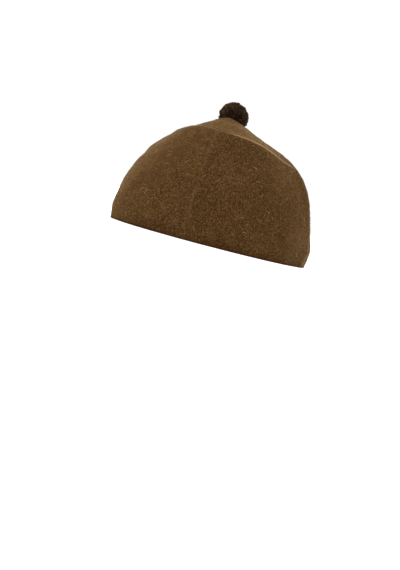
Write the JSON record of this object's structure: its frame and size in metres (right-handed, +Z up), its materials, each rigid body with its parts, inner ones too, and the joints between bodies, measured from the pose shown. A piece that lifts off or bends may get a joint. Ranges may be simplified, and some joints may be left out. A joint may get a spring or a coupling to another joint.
{
  "type": "felt skullcap",
  "caption": "Close-fitting brown felt skullcap sewn from gores, with a plain cut rim and a dark clipped wool pompom on its crown, for wearing on the head.",
  "frame": {"origin": "on the surface the cap rests on, under the middle of its bounding box, which is the middle of the rim", "axes": "+Z up, -Y towards the front of the wearer, +X to the wearer's left; the cap is longest along Y and lowest along Z"},
  "size_m": [0.1768, 0.203, 0.1314],
  "materials": {
    "felt": "soft brown wool felt with a short nap, matte",
    "yarn": "dark brown clipped wool yarn, matte"
  },
  "bodies": {
    "root": {"gore_left": "felt", "gore_back": "felt", "gore_right": "felt", "gore_front": "felt", "pompom": "yarn"}
  },
  "joints": []
}
